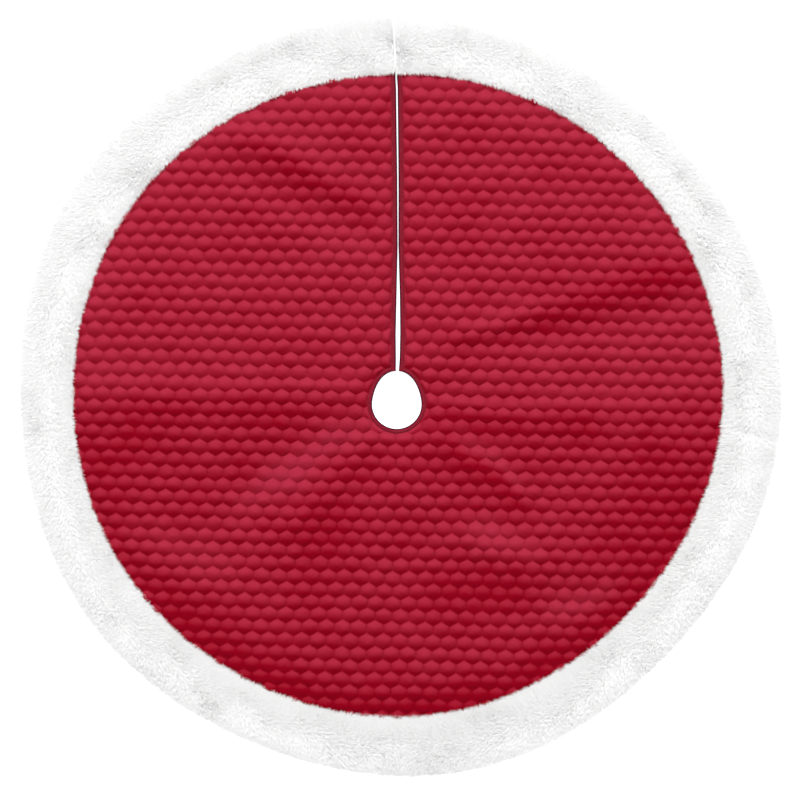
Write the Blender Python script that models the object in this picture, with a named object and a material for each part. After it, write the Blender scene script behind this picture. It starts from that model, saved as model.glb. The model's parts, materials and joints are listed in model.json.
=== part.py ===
"""Round quilted velvet tree skirt with a plush border, slit from the trunk hole to the rim.

The skirt lies flat on the floor. Its layers are stacked in z, and each one is swept round the
trunk hole. The two panels beside the slit fold back over their neighbours, so every layer is
divided at the two fold lines and belongs to the main panel, the left flap or the right flap.
Units are metres, +Z is up, and the origin is on the floor under the middle of the disc.
"""

import math
from collections import namedtuple

import bmesh
import bpy
from mathutils import Matrix, Vector

# Outline of the disc and its border
RIM_RADIUS = 0.610
BORDER_WIDTH = 0.086  # plush, from its seam with the velvet to the rim
BORDER_OVERHANG = 0.006  # the pile leans this far in over the velvet
BORDER_HEIGHT = 0.020
RIM_LIP = 0.0055  # the pile falls this far outside the lining's edge

# Trunk hole: round, drawn up to a point where the slit enters it
HOLE_X = 0.0
HOLE_Y = -0.0135
HOLE_RADIUS = 0.0395
HOLE_POINT = 0.0135
HOLE_SHARPNESS = 3

# Slit and the two flaps beside it
SLIT_ANGLE = math.radians(90)
SLIT_GAP = 0.006
PLUSH_GAP = 0.002  # the border's two ends nearly meet
FLAP_ANGLE = math.radians(45)

# Layers, from the floor up
LINING = 0.001
WADDING = 0.005
VELVET = 0.0015

# Binding folded over the edges of the slit and of the hole
BINDING_WIDTH = 0.006
BINDING_WALL = 0.001

# Threads
THREAD = 0.0006
STITCH_INSET = 0.0045  # topstitching, from the bound edge

# Blank care label, pressed into the underside of the lining
LABEL_WIDTH = 0.030
LABEL_LENGTH = 0.050
LABEL_THICKNESS = 0.0003
LABEL_ANGLE = math.radians(300)
LABEL_RIM_DISTANCE = 0.010

CLEARANCE = 0.0003  # between pieces that touch
SEAM_CLEARANCE = 0.0005  # between pieces that meet along an arc of facets
COLUMN_ANGLE = math.radians(3.75)
CROWN_STEPS = 10
CROWN_POWER = 4

WADDING_BOTTOM = LINING + CLEARANCE
WADDING_TOP = WADDING_BOTTOM + WADDING
VELVET_BOTTOM = WADDING_TOP + CLEARANCE
VELVET_TOP = VELVET_BOTTOM + VELVET
STITCH_BOTTOM = VELVET_TOP + CLEARANCE
BORDER_SEAM_RADIUS = RIM_RADIUS - BORDER_WIDTH
PILE_INNER_RADIUS = BORDER_SEAM_RADIUS - BORDER_OVERHANG
LINING_RADIUS = RIM_RADIUS - RIM_LIP - THREAD - 2 * SEAM_CLEARANCE
FOLD_HEIGHT = BORDER_HEIGHT + SEAM_CLEARANCE

Sector = namedtuple("Sector", "body start end start_gap end_gap")


def circle(radius):
    """The circle of this radius round the origin, as its distance from the hole's middle."""

    def reach(angle):
        along = HOLE_X * math.cos(angle) + HOLE_Y * math.sin(angle)
        return math.sqrt(along**2 - HOLE_X**2 - HOLE_Y**2 + radius**2) - along

    return reach


def hole(inset):
    """The edge of the trunk hole, moved into the cloth by inset."""

    def reach(angle):
        towards_slit = max(0.0, math.cos(angle - SLIT_ANGLE))
        return HOLE_RADIUS + HOLE_POINT * towards_slit**HOLE_SHARPNESS + inset

    return reach


def meeting_angle(curve, ray, offset):
    """The direction in which curve lies offset to the anticlockwise side of a ray from the hole."""
    angle = ray
    for _ in range(40):
        angle = ray + math.asin(offset / curve(angle))
    return angle


def point_at(curve, angle, height):
    reach = curve(angle)
    return Vector((HOLE_X + reach * math.cos(angle), HOLE_Y + reach * math.sin(angle), height))


def row_along(curve, height, sector):
    """Points along curve, from one edge of the sector to the other."""
    start = meeting_angle(curve, sector.start, sector.start_gap)
    end = meeting_angle(curve, sector.end, -sector.end_gap)
    columns = round((sector.end - sector.start) / COLUMN_ANGLE)
    return [
        point_at(curve, start + (end - start) * column / columns, height)
        for column in range(columns + 1)
    ]


def cloth(name, colour, roughness):
    material = bpy.data.materials.new(name)
    material.use_nodes = True
    shader = material.node_tree.nodes["Principled BSDF"]
    shader.inputs["Base Color"].default_value = (*colour, 1)
    shader.inputs["Roughness"].default_value = roughness
    shader.inputs["Metallic"].default_value = 0
    return material


def add_piece(name, mesh, material, pivot=None):
    """An object from a bmesh drawn in world space; one on a flap hangs from that flap's pivot."""
    bmesh.ops.recalc_face_normals(mesh, faces=mesh.faces)
    data = bpy.data.meshes.new(name)
    mesh.to_mesh(data)
    mesh.free()
    piece = bpy.data.objects.new(name, data)
    bpy.context.scene.collection.objects.link(piece)
    data.materials.append(material)
    if pivot:
        piece.parent = pivot
        piece.location = -pivot.location
    return piece


def bridge(mesh, rows):
    """A closed tube through the rows, with a face over each end."""
    loops = [[mesh.verts.new(point) for point in row] for row in rows]
    for near, far in zip(loops, loops[1:] + loops[:1]):
        for a, b, c, d in zip(near, near[1:], far[1:], far):
            mesh.faces.new((a, b, c, d))
    mesh.faces.new([loop[0] for loop in loops])
    mesh.faces.new([loop[-1] for loop in loops])


def sweep(name, profile, sector, material, pivots):
    """A solid whose section, a list of (curve, height) corners, runs round the sector."""
    mesh = bmesh.new()
    bridge(mesh, [row_along(curve, height, sector) for curve, height in profile])
    return add_piece(name, mesh, material, pivots[sector.body])


def beside_slit(name, profile, side, inner, outer, material, pivot):
    """A straight solid along the slit. Its section lists (distance from the slit line, height)."""
    mesh = bmesh.new()
    rows = []
    for distance, height in profile:
        ends = [meeting_angle(curve, SLIT_ANGLE, -side * distance) for curve in (inner, outer)]
        rows.append([point_at(curve, end, height) for curve, end in zip((inner, outer), ends)])
    bridge(mesh, rows)
    return add_piece(name, mesh, material, pivot)


def flat_section(inner, outer, bottom, top):
    return [(inner, bottom), (outer, bottom), (outer, top), (inner, top)]


def binding_section(edge):
    """A channel that wraps the cloth's edge. edge gives what lies at a distance from that edge."""
    mouth, wall = edge(BINDING_WIDTH), edge(BINDING_WALL)
    return [
        (edge(0), 0),
        (mouth, 0),
        (mouth, LINING),
        (wall, LINING),
        (wall, VELVET_BOTTOM),
        (mouth, VELVET_BOTTOM),
        (mouth, VELVET_TOP),
        (edge(0), VELVET_TOP),
    ]


def border_section():
    """Plush border: a flat back on the lining, a lip round the rim and a rounded crown of pile."""
    seam = circle(BORDER_SEAM_RADIUS)
    lip = circle(RIM_RADIUS - RIM_LIP)
    section = [(seam, STITCH_BOTTOM), (seam, WADDING_BOTTOM), (lip, WADDING_BOTTOM), (lip, 0)]
    middle = (RIM_RADIUS + PILE_INNER_RADIUS) / 2
    for step in range(CROWN_STEPS + 1):
        turn = math.pi * step / CROWN_STEPS
        across = math.copysign(abs(math.cos(turn)) ** (2 / CROWN_POWER), math.cos(turn))
        base = 0 if across > 0 else STITCH_BOTTOM
        rise = math.sin(turn) ** (2 / CROWN_POWER) if 0 < step < CROWN_STEPS else 0
        radius = middle + across * (RIM_RADIUS - middle)
        section.append((circle(radius), base + (BORDER_HEIGHT - base) * rise))
    return section


def layer_sectors(slit_distance):
    """The three sectors of one layer, whose edges beside the slit are slit_distance from its line."""
    fold_gap = CLEARANCE / 2
    left_fold = SLIT_ANGLE + FLAP_ANGLE
    right_fold = SLIT_ANGLE - FLAP_ANGLE
    return (
        Sector("main", left_fold, right_fold + 2 * math.pi, fold_gap, fold_gap),
        Sector("left", SLIT_ANGLE, left_fold, slit_distance, fold_gap),
        Sector("right", right_fold, SLIT_ANGLE, fold_gap, slit_distance),
    )


def make_pivots():
    """An empty on each fold's axis, at the hole; the main panel has none."""
    pivots = {"main": None}
    for side in ("left", "right"):
        pivot = bpy.data.objects.new(f"{side}_fold", None)
        pivot.location = (HOLE_X, HOLE_Y, FOLD_HEIGHT)
        bpy.context.scene.collection.objects.link(pivot)
        pivots[side] = pivot
    return pivots


def block(size, place):
    mesh = bmesh.new()
    bmesh.ops.create_cube(mesh, size=1, matrix=place @ Matrix.Diagonal((*size, 1)))
    return mesh


def add_cutter(name, mesh, material):
    cutter = add_piece(name, mesh, material)
    cutter.hide_render = True
    cutter.display_type = "WIRE"
    return cutter


def cut(piece, cutter):
    modifier = piece.modifiers.new(cutter.name, "BOOLEAN")
    modifier.operation = "DIFFERENCE"
    modifier.object = cutter


def make_velvet(pivots):
    red = cloth("quilted_velvet", (0.38, 0.012, 0.03), 0.85)
    inner = hole(BINDING_WIDTH + CLEARANCE)
    outer = circle(BORDER_SEAM_RADIUS - SEAM_CLEARANCE)
    section = flat_section(inner, outer, VELVET_BOTTOM, VELVET_TOP)
    for sector in layer_sectors(SLIT_GAP / 2 + BINDING_WIDTH + CLEARANCE):
        sweep(f"velvet_face_{sector.body}", section, sector, red, pivots)


def make_wadding(pivots):
    white = cloth("polyester_wadding", (0.85, 0.85, 0.83), 0.95)
    inner = hole(BINDING_WALL + SEAM_CLEARANCE)
    outer = circle(BORDER_SEAM_RADIUS - THREAD - 2 * SEAM_CLEARANCE)
    section = flat_section(inner, outer, WADDING_BOTTOM, WADDING_TOP)
    for sector in layer_sectors(SLIT_GAP / 2 + BINDING_WALL + CLEARANCE):
        sweep(f"wadding_{sector.body}", section, sector, white, pivots)


def make_label(lining):
    """The blank label lies flush in a shallow pocket that it presses into the lining."""
    white = cloth("satin_label", (0.9, 0.9, 0.88), 0.45)
    middle = LINING_RADIUS - LABEL_RIM_DISTANCE - LABEL_LENGTH / 2
    turned = Matrix.Rotation(LABEL_ANGLE, 4, "Z")
    label_place = turned @ Matrix.Translation((middle, 0, LABEL_THICKNESS / 2))
    size = (LABEL_LENGTH, LABEL_WIDTH, LABEL_THICKNESS)
    add_piece("care_label", block(size, label_place), white)
    depth = LABEL_THICKNESS + CLEARANCE
    pocket_size = (LABEL_LENGTH + 2 * CLEARANCE, LABEL_WIDTH + 2 * CLEARANCE, 2 * depth)
    pocket_place = turned @ Matrix.Translation((middle, 0, 0))
    cut(lining, add_cutter("label_pocket", block(pocket_size, pocket_place), white))


def make_lining(pivots):
    """It runs to the slit under the border, and stops at the binding beside the velvet."""
    dark_red = cloth("woven_lining", (0.22, 0.01, 0.02), 0.8)
    inner = hole(BINDING_WIDTH + CLEARANCE)
    section = flat_section(inner, circle(LINING_RADIUS), 0, LINING)
    width = SLIT_GAP + 2 * (BINDING_WIDTH + CLEARANCE)
    length = BORDER_SEAM_RADIUS - HOLE_Y
    middle = Vector((HOLE_X, HOLE_Y + length / 2, 0))
    notch = block((width, length, 4 * LINING), Matrix.Translation(middle))
    notch_cutter = add_cutter("binding_notch", notch, dark_red)
    for sector in layer_sectors(PLUSH_GAP / 2 + SEAM_CLEARANCE):
        piece = sweep(f"lining_{sector.body}", section, sector, dark_red, pivots)
        if sector.body != "main":
            cut(piece, notch_cutter)
        else:
            make_label(piece)


def make_border(pivots):
    white = cloth("plush_pile", (0.88, 0.88, 0.87), 0.9)
    for sector in layer_sectors(PLUSH_GAP / 2):
        sweep(f"plush_border_{sector.body}", border_section(), sector, white, pivots)


def make_bindings(pivots):
    red = cloth("velvet_binding", (0.33, 0.01, 0.028), 0.8)
    for sector in layer_sectors(SLIT_GAP / 2):
        sweep(f"hole_binding_{sector.body}", binding_section(hole), sector, red, pivots)
    from_hole = hole(BINDING_WIDTH + SEAM_CLEARANCE)
    to_border = circle(BORDER_SEAM_RADIUS - SEAM_CLEARANCE)
    section = binding_section(lambda distance: SLIT_GAP / 2 + distance)
    for side, sign in (("left", -1), ("right", 1)):
        name = f"slit_binding_{side}"
        beside_slit(name, section, sign, from_hole, to_border, red, pivots[side])


def make_topstitching(pivots):
    thread = cloth("topstitch_thread", (0.30, 0.01, 0.03), 0.5)
    stitch_top = STITCH_BOTTOM + THREAD
    ring = flat_section(hole(STITCH_INSET), hole(STITCH_INSET + THREAD), STITCH_BOTTOM, stitch_top)
    for sector in layer_sectors(SLIT_GAP / 2 + CLEARANCE):
        sweep(f"hole_topstitch_{sector.body}", ring, sector, thread, pivots)
    near = SLIT_GAP / 2 + STITCH_INSET
    line = flat_section(near, near + THREAD, STITCH_BOTTOM, stitch_top)
    from_hole = hole(BINDING_WIDTH + SEAM_CLEARANCE)
    to_pile = circle(PILE_INNER_RADIUS - SEAM_CLEARANCE)
    for side, sign in (("left", -1), ("right", 1)):
        name = f"slit_topstitch_{side}"
        beside_slit(name, line, sign, from_hole, to_pile, thread, pivots[side])


def make_seams(pivots):
    """The threads inside the two round seams: velvet to plush, and plush to lining at the rim."""
    thread = cloth("seam_thread", (0.8, 0.78, 0.76), 0.6)
    border_outer = BORDER_SEAM_RADIUS - SEAM_CLEARANCE
    rim_outer = RIM_RADIUS - RIM_LIP - SEAM_CLEARANCE
    beside_binding = SLIT_GAP / 2 + BINDING_WIDTH + CLEARANCE
    beside_plush = PLUSH_GAP / 2 + SEAM_CLEARANCE
    seams = (
        ("border_seam", border_outer, (WADDING_BOTTOM + WADDING_TOP - THREAD) / 2, beside_binding),
        ("rim_seam", rim_outer, (LINING - THREAD) / 2, beside_plush),
    )
    for name, outer, bottom, slit_distance in seams:
        ring = flat_section(circle(outer - THREAD), circle(outer), bottom, bottom + THREAD)
        for sector in layer_sectors(slit_distance):
            sweep(f"{name}_{sector.body}", ring, sector, thread, pivots)


for old in list(bpy.data.objects):
    bpy.data.objects.remove(old, do_unlink=True)

fold_pivots = make_pivots()
make_velvet(fold_pivots)
make_wadding(fold_pivots)
make_lining(fold_pivots)
make_border(fold_pivots)
make_bindings(fold_pivots)
make_topstitching(fold_pivots)
make_seams(fold_pivots)
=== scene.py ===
import json
import math

import bpy
import numpy as np
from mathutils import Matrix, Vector


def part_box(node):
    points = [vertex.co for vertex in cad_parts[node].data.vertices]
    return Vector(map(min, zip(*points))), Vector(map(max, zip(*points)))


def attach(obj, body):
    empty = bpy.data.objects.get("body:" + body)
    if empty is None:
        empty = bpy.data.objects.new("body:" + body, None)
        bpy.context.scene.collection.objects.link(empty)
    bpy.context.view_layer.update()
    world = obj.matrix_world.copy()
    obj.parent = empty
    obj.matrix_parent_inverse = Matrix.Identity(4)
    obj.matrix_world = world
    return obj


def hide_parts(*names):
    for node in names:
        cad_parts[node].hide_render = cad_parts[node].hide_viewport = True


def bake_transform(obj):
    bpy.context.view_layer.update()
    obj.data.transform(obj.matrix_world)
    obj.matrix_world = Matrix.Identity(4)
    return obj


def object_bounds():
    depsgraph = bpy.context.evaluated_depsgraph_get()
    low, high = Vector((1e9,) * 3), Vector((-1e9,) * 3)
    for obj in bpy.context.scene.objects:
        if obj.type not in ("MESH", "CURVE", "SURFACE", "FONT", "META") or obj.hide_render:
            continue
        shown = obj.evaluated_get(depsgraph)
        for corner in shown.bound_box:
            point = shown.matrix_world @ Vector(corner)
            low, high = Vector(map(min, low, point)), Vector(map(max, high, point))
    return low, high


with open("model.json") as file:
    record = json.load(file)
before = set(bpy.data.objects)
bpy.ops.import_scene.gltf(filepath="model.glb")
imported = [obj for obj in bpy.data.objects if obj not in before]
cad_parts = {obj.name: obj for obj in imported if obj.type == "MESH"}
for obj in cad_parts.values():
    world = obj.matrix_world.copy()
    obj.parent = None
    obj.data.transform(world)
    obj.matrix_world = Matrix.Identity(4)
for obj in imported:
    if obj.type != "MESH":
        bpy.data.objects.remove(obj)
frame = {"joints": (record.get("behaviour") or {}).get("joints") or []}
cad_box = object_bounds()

# The skirt lies open on the floor, its slit towards +Y. X is to the right, and all sizes are metres.
# The hinges of the two flaps meet over the middle of the trunk hole.
HOLE_X, HOLE_Y, _ = frame["joints"][0]["pos_m"]
RIM_RADIUS = cad_box[1].x
SEAM_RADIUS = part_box("velvet_face_main")[1].x


# ---- The floor, the lamp and the camera ----
# A white studio floor, which glows a little so that it stays white in the hole and the slit. One broad
# lamp stands beyond the slit and rakes down across the puffs, and the room's own light opens the shadows.
# The camera hangs straight above.
FLOOR_SIZE, FLOOR_GLOW, ROOM_LIGHT = 14.0, 0.65, 0.83
LAMP_SIDE, LAMP_BACK, LAMP_HEIGHT, LAMP_SIZE, LAMP_POWER = -1.2, 13.6, 14.0, 9.0, 3200.0
CAMERA_HEIGHT, SEEN_WIDTH, CLOTH_HEIGHT = 5.0, 1.275, 0.012
CAMERA_X, CAMERA_Y, SENSOR_WIDTH = 0.0052, -0.0069, 36.0


def plain_material(name, colour, roughness, **sockets):
    """A material with one Principled shader, whose other sockets are set by name."""
    material = bpy.data.materials.new(name)
    material.use_nodes = True
    shader = material.node_tree.nodes["Principled BSDF"]
    shader.inputs["Base Color"].default_value = (*colour, 1)
    shader.inputs["Roughness"].default_value = roughness
    for socket, value in sockets.items():
        shader.inputs[socket.replace("_", " ")].default_value = value
    return material


floor_mesh = bpy.data.meshes.new("floor")
reach = FLOOR_SIZE / 2
floor_mesh.from_pydata([(-reach, -reach, 0), (reach, -reach, 0), (reach, reach, 0), (-reach, reach, 0)],
                       [], [(0, 1, 2, 3)])
floor = bpy.data.objects.new("floor", floor_mesh)
bpy.context.scene.collection.objects.link(floor)
floor.data.materials.append(plain_material("white_floor", (0.92, 0.92, 0.92), 0.9, Specular_IOR_Level=0.1,
                                           Emission_Color=(1, 1, 1, 1), Emission_Strength=FLOOR_GLOW))

world = bpy.data.worlds.new("studio_air")
world.use_nodes = True
world.node_tree.nodes["Background"].inputs["Color"].default_value = (1.0, 1.0, 1.0, 1)
world.node_tree.nodes["Background"].inputs["Strength"].default_value = ROOM_LIGHT
bpy.context.scene.world = world


def add_lamp(name, place, size, power):
    """A square lamp that faces the middle of the skirt."""
    light = bpy.data.lights.new(name, "AREA")
    light.shape, light.size, light.energy = "SQUARE", size, power
    lamp = bpy.data.objects.new(name, light)
    lamp.location = place
    lamp.rotation_euler = (-Vector(place)).to_track_quat("-Z", "Y").to_euler()
    bpy.context.scene.collection.objects.link(lamp)


add_lamp("raking_lamp", (LAMP_SIDE, LAMP_BACK, LAMP_HEIGHT), LAMP_SIZE, LAMP_POWER)

camera_data = bpy.data.cameras.new("camera")
camera_data.sensor_width = SENSOR_WIDTH
camera_data.lens = SENSOR_WIDTH * (CAMERA_HEIGHT - CLOTH_HEIGHT) / SEEN_WIDTH
camera_data.clip_end = 50.0
camera = bpy.data.objects.new("camera", camera_data)
camera.location = (CAMERA_X, CAMERA_Y, CAMERA_HEIGHT)
bpy.context.scene.collection.objects.link(camera)
bpy.context.scene.camera = camera
bpy.context.scene.view_settings.view_transform = "Standard"


# ---- The quilted velvet face ----
# Red pile velvet quilted over wadding in rows of hexagons, so that each one puffs up. It was cut as a ring
# and packed folded, which left soft ridges that run out from the trunk hole.
HOLE_RADIUS, HOLE_POINT = 0.0395, 0.0135
CELL_WIDTH, ROW_PITCH, LATTICE_TURN = 0.0261, 0.0203, math.radians(-1.3)
LATTICE_AT = (-0.3110, 0.0808)
PUFF_HEIGHT, PUFF_ROUNDNESS, PUFF_VARIETY, PUFF_TILT = 0.0050, 0.50, 0.18, 0.40
PANEL_EDGE_HEIGHT, PANEL_RISE, PANEL_CROWN, PANEL_HILLS = 0.0074, 0.0022, 0.0012, 0.0010
BINDING_WIDTH = 0.007
UNDER_BINDING = 0.0025
VELVET_STEP = 0.0019


def smooth(t):
    """0 to 1 in a soft step."""
    t = np.clip(t, 0, 1)
    return t * t * (3 - 2 * t)


def soft_noise(x, y, size, seed):
    """Smooth random hills from -1 to 1, about size metres across."""
    table = np.random.default_rng(seed).uniform(-1, 1, (128, 128))
    gx, gy = np.asarray(x) / size + 64, np.asarray(y) / size + 64
    ix, iy = np.floor(gx).astype(int), np.floor(gy).astype(int)
    fx, fy = smooth(gx - ix), smooth(gy - iy)
    def at(i, j):
        return table[i % 128, j % 128]
    low = at(ix, iy) * (1 - fx) + at(ix + 1, iy) * fx
    high = at(ix, iy + 1) * (1 - fx) + at(ix + 1, iy + 1) * fx
    return low * (1 - fy) + high * fy


def hole_reach(angle):
    """The trunk hole's edge: round, drawn out to a soft point at the slit."""
    return HOLE_RADIUS + HOLE_POINT * np.maximum(0, np.cos(angle - math.pi / 2)) ** 3


def slit_middle(y):
    """The slit runs a little to the right of the hole's middle, and bears left under the plush."""
    return np.interp(y, [0.03, 0.06, 0.15, 0.35, 0.49, 0.62],
                     [0.0006, 0.0017, 0.0023, 0.0018, 0.0002, -0.0068])


def slit_gap(y):
    """The slit stands a little open beside the hole and nearly closes halfway out."""
    return np.interp(y, [0.03, 0.06, 0.10, 0.16, 0.24, 0.32, 0.50, 0.62],
                     [0.0044, 0.0062, 0.0074, 0.0054, 0.0016, 0.0022, 0.0027, 0.0010])


def seam_reach(angle):
    """The seam of velvet and plush, from the middle of the skirt: round, but a little pulled about."""
    return SEAM_RADIUS - 0.0005 + 0.0035 * np.sin(angle) + 0.0035 * np.cos(2 * angle - 0.6) \
        + 0.0022 * np.cos(3 * angle - 1.2) + 0.0016 * np.cos(5 * angle + 0.6)


# Soft ridges left by packing and handling: from, to, half-width on its left and right, widening towards
# its far end, and height.
RIDGES = [
    ((-0.035, 0.010), (-0.520, 0.008), 0.030, 0.011, 1.6, 0.0034),
    ((0.045, -0.022), (0.430, -0.026), 0.011, 0.022, 1.0, 0.0030),
    ((-0.030, -0.050), (-0.175, -0.220), 0.020, 0.014, 0.6, 0.0040),
    ((0.050, -0.052), (0.215, -0.165), 0.012, 0.020, 0.6, 0.0034),
    ((0.095, -0.225), (0.340, -0.285), 0.022, 0.030, 0.3, 0.0042),
    ((-0.300, 0.445), (-0.030, 0.300), 0.022, 0.026, 0.0, 0.0036),
    ((-0.290, 0.375), (-0.050, 0.250), 0.024, 0.024, 0.0, -0.0026),
    ((0.090, 0.092), (0.500, 0.215), 0.014, 0.014, 1.2, 0.0034),
    ((0.090, 0.068), (0.500, 0.150), 0.014, 0.016, 1.2, -0.0024),
    ((-0.024, -0.120), (-0.040, -0.340), 0.014, 0.020, 0.4, 0.0022),
]


def ridge_height(x, y):
    """The height of all the packing ridges together."""
    total = np.zeros_like(x)
    for (ax, ay), (bx, by), left, right, widening, height in RIDGES:
        length = math.hypot(bx - ax, by - ay)
        ux, uy = (bx - ax) / length, (by - ay) / length
        along = ((x - ax) * ux + (y - ay) * uy) / length
        side = -(x - ax) * uy + (y - ay) * ux
        side = side + 0.006 * soft_noise(x, y, 0.09, 31)
        width = np.where(side > 0, left, right) * (1 + widening * np.clip(along, 0, 1))
        fade = smooth((along + 0.12) / 0.24) * smooth((1.12 - along) / 0.24)
        total += height * fade * np.exp(-(side / width) ** 2)
    return total


def edge_distance(x, y):
    """How far inside the velvet a point lies, from the edge of the hole or the slit."""
    angle = np.arctan2(y - HOLE_Y, x - HOLE_X)
    from_hole = np.hypot(x - HOLE_X, y - HOLE_Y) - hole_reach(angle)
    from_slit = np.where(y > 0.02, np.abs(x - slit_middle(y)) - slit_gap(y) / 2, 1.0)
    return np.minimum(from_hole, from_slit)


def panel_level(x, y):
    """The height of the quilting lines, which carry the ridges but not the puffs."""
    inside = edge_distance(x, y) - BINDING_WIDTH
    from_seam = seam_reach(np.arctan2(y, x)) - np.hypot(x, y)
    open_cloth = smooth(inside / 0.030)
    fall = smooth(from_seam / 0.055)
    hills = ridge_height(x, y) \
        + PANEL_HILLS * soft_noise(x, y, 0.075, 5) + PANEL_HILLS * soft_noise(x, y, 0.16, 6)
    return PANEL_EDGE_HEIGHT + PANEL_RISE * smooth(inside / 0.012) * fall \
        + hills * open_cloth * smooth(from_seam / 0.03) + PANEL_CROWN * fall * open_cloth


def puff(x, y):
    """The puffs over the quilting lines: domes on a lattice of hexagons, no two quite alike."""
    cos, sin = math.cos(LATTICE_TURN), math.sin(LATTICE_TURN)
    wx = x - LATTICE_AT[0] + 0.0012 * soft_noise(x, y, 0.06, 11)
    wy = y - LATTICE_AT[1] + 0.0012 * soft_noise(x, y, 0.06, 12)
    u, v = (wx * cos + wy * sin) / CELL_WIDTH, (-wx * sin + wy * cos) / ROW_PITCH
    best = np.full_like(u, 9.0)
    cell_u, cell_v = np.zeros_like(u), np.zeros_like(v)
    for shift in (0, 1):
        row = 2 * np.round((v - shift) / 2) + shift
        column = np.round(u - shift / 2) + shift / 2
        away = (u - column) ** 2 + 0.75 * (v - row) ** 2
        nearer = away < best
        best = np.where(nearer, away, best)
        cell_u, cell_v = np.where(nearer, column, cell_u), np.where(nearer, row, cell_v)
    du, dv = u - cell_u, v - cell_v
    across = np.cos(math.pi * np.clip(du, -0.5, 0.5))
    rising = np.cos(math.pi / 2 * np.clip(du + 1.5 * dv, -1, 1))
    falling = np.cos(math.pi / 2 * np.clip(du - 1.5 * dv, -1, 1))
    dome = np.maximum(across * rising * falling, 0) ** PUFF_ROUNDNESS
    hashed = np.random.default_rng(3).uniform(-1, 1, (3, 97, 89))
    i, j = (2 * cell_u).astype(int) % 97, cell_v.astype(int) % 89
    height = PUFF_HEIGHT * (1 + PUFF_VARIETY * hashed[0, i, j]
                            + PUFF_TILT * hashed[1, i, j] * du + PUFF_TILT * hashed[2, i, j] * dv)
    wrinkle = 0.00022 * soft_noise(x + 0.3 * y, y, 0.0052, 21) \
        + 0.00025 * soft_noise(x, y - 0.2 * x, 0.011, 22)
    return dome * (height + wrinkle)


def velvet_height(x, y):
    """The velvet's surface: flat under the bindings and the plush, puffed everywhere else."""
    inside = edge_distance(x, y) - BINDING_WIDTH
    from_seam = seam_reach(np.arctan2(y, x)) - np.hypot(x, y)
    full = smooth((inside + 0.001) / 0.006) * smooth((from_seam + 0.002) / 0.010)
    return panel_level(x, y) + puff(x, y) * full


# The four quarters of every layer: from and to, as angles round the trunk hole.
QUARTERS = {
    "upper_left": (90, 180),
    "upper_right": (90, 0),
    "lower_left": (180, 270),
    "lower_right": (360, 270),
}


def ride_quarter(piece, quarter):
    """The lower quarters ride on the main panel. The upper ones have their placing applied and stay where
    they lie.
    """
    if quarter.startswith("lower"):
        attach(piece, "main_panel")
        return
    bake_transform(piece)


def ray_reach(angle, curve):
    """How far a ray from the hole's middle runs before it meets a curve round the skirt's middle."""
    far = np.full_like(angle, SEAM_RADIUS)
    for _ in range(12):
        px, py = HOLE_X + far * np.cos(angle), HOLE_Y + far * np.sin(angle)
        far = far + curve(np.arctan2(py, px)) - np.hypot(px, py)
    return far


def place_on_rays(quarter, angle, reach, slit_inset):
    """Points at a distance along rays from the hole, pushed clear of the slit in the upper quarters."""
    x, y = HOLE_X + reach * np.cos(angle), HOLE_Y + reach * np.sin(angle)
    side = {"upper_left": -1, "upper_right": 1}.get(quarter, 0)
    edge = side * (slit_gap(y) / 2 + slit_inset) + slit_middle(y) - HOLE_X
    return x + abs(side) * edge * np.exp(-np.abs(x - HOLE_X) / 0.030), y


def quarter_grid(quarter, step, near, far, slit_inset):
    """A grid over one quarter: columns round the hole, rows outwards between two distances on each ray."""
    start, end = QUARTERS[quarter]
    columns = int(round(math.pi / 2 * SEAM_RADIUS / step))
    angle = np.radians(np.linspace(start, end, columns + 1))[:, None]
    rows = int(round(float((far(angle) - near(angle)).mean()) / step))
    reach = near(angle) + (far(angle) - near(angle)) * np.linspace(0, 1, rows + 1)[None, :]
    return place_on_rays(quarter, angle, reach, slit_inset)


def make_piece(name, points, faces, smooth_faces=True, plan=None):
    """A mesh object, with a flat map from its own plan of map points when one is given."""
    mesh = bpy.data.meshes.new(name)
    points = np.asarray(points, np.float32)
    faces = np.asarray(faces, np.int32)
    corners = faces.shape[1]
    mesh.vertices.add(len(points))
    mesh.vertices.foreach_set("co", points.ravel())
    mesh.loops.add(faces.size)
    mesh.loops.foreach_set("vertex_index", faces.ravel())
    mesh.polygons.add(len(faces))
    mesh.polygons.foreach_set("loop_start", np.arange(0, faces.size, corners, dtype=np.int32))
    mesh.polygons.foreach_set("use_smooth", np.full(len(faces), smooth_faces))
    mesh.update(calc_edges=True)
    if plan is not None:
        plan = np.asarray(plan, np.float32)
        low, high = plan.min(axis=0), plan.max(axis=0)
        fitted = 0.01 + 0.98 * (plan - low) / (high - low).max()
        flat_map = mesh.uv_layers.new(name="OFBake")
        flat_map.data.foreach_set("uv", fitted[faces.ravel()].ravel())
    mesh.validate()
    piece = bpy.data.objects.new(name, mesh)
    bpy.context.scene.collection.objects.link(piece)
    return piece


def grid_faces(columns, rows, flip, first=0):
    """Four-sided faces between the points of a grid."""
    i, j = np.meshgrid(np.arange(columns - 1), np.arange(rows - 1), indexing="ij")
    a = (first + i * rows + j).ravel()
    quads = np.stack([a, a + rows, a + rows + 1, a + 1], axis=1)
    return quads[:, ::-1] if flip else quads


def node_group(name, inputs, outputs):
    """An empty shader group with the given sockets, and its two ends."""
    group = bpy.data.node_groups.new(name, "ShaderNodeTree")
    for label, kind, value in inputs:
        socket = group.interface.new_socket(label, in_out="INPUT", socket_type=kind)
        socket.default_value = value
    for label, kind in outputs:
        group.interface.new_socket(label, in_out="OUTPUT", socket_type=kind)
    return group, group.nodes.new("NodeGroupInput"), group.nodes.new("NodeGroupOutput")


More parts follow.
